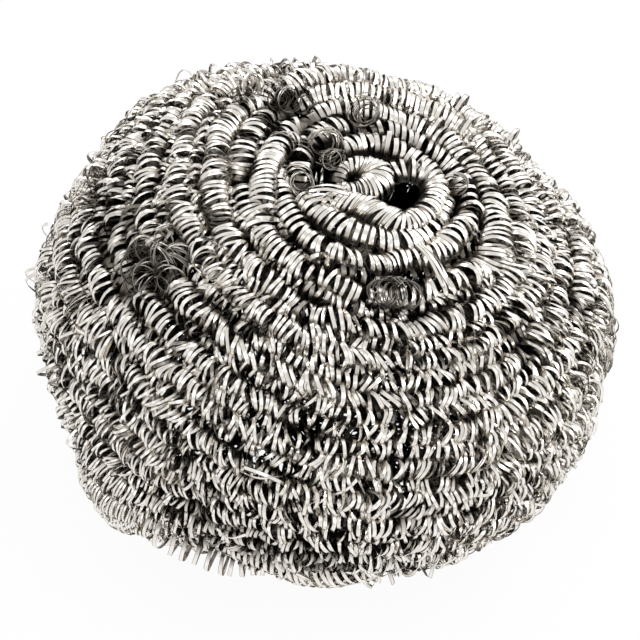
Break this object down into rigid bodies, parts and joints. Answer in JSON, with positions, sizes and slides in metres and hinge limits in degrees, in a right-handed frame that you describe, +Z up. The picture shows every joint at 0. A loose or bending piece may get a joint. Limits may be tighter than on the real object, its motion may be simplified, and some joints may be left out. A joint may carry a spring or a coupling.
{
  "type": "stainless steel scourer",
  "caption": "Squat ball of one flat steel ribbon, coiled into a springy rope and wound in rows from an open crown to a flat base, for scouring pans.",
  "frame": {"origin": "on the surface it rests on, under the middle of its box", "axes": "+Z up from the flat base; the winding axis leans from +Z towards +X, and the crown's open hook faces -Y"},
  "size_m": [0.0794, 0.0792, 0.0564],
  "materials": {
    "steel_ribbon": "bright drawn ribbon"
  },
  "bodies": {
    "root": {"scourer_coil": "steel_ribbon"}
  },
  "joints": []
}
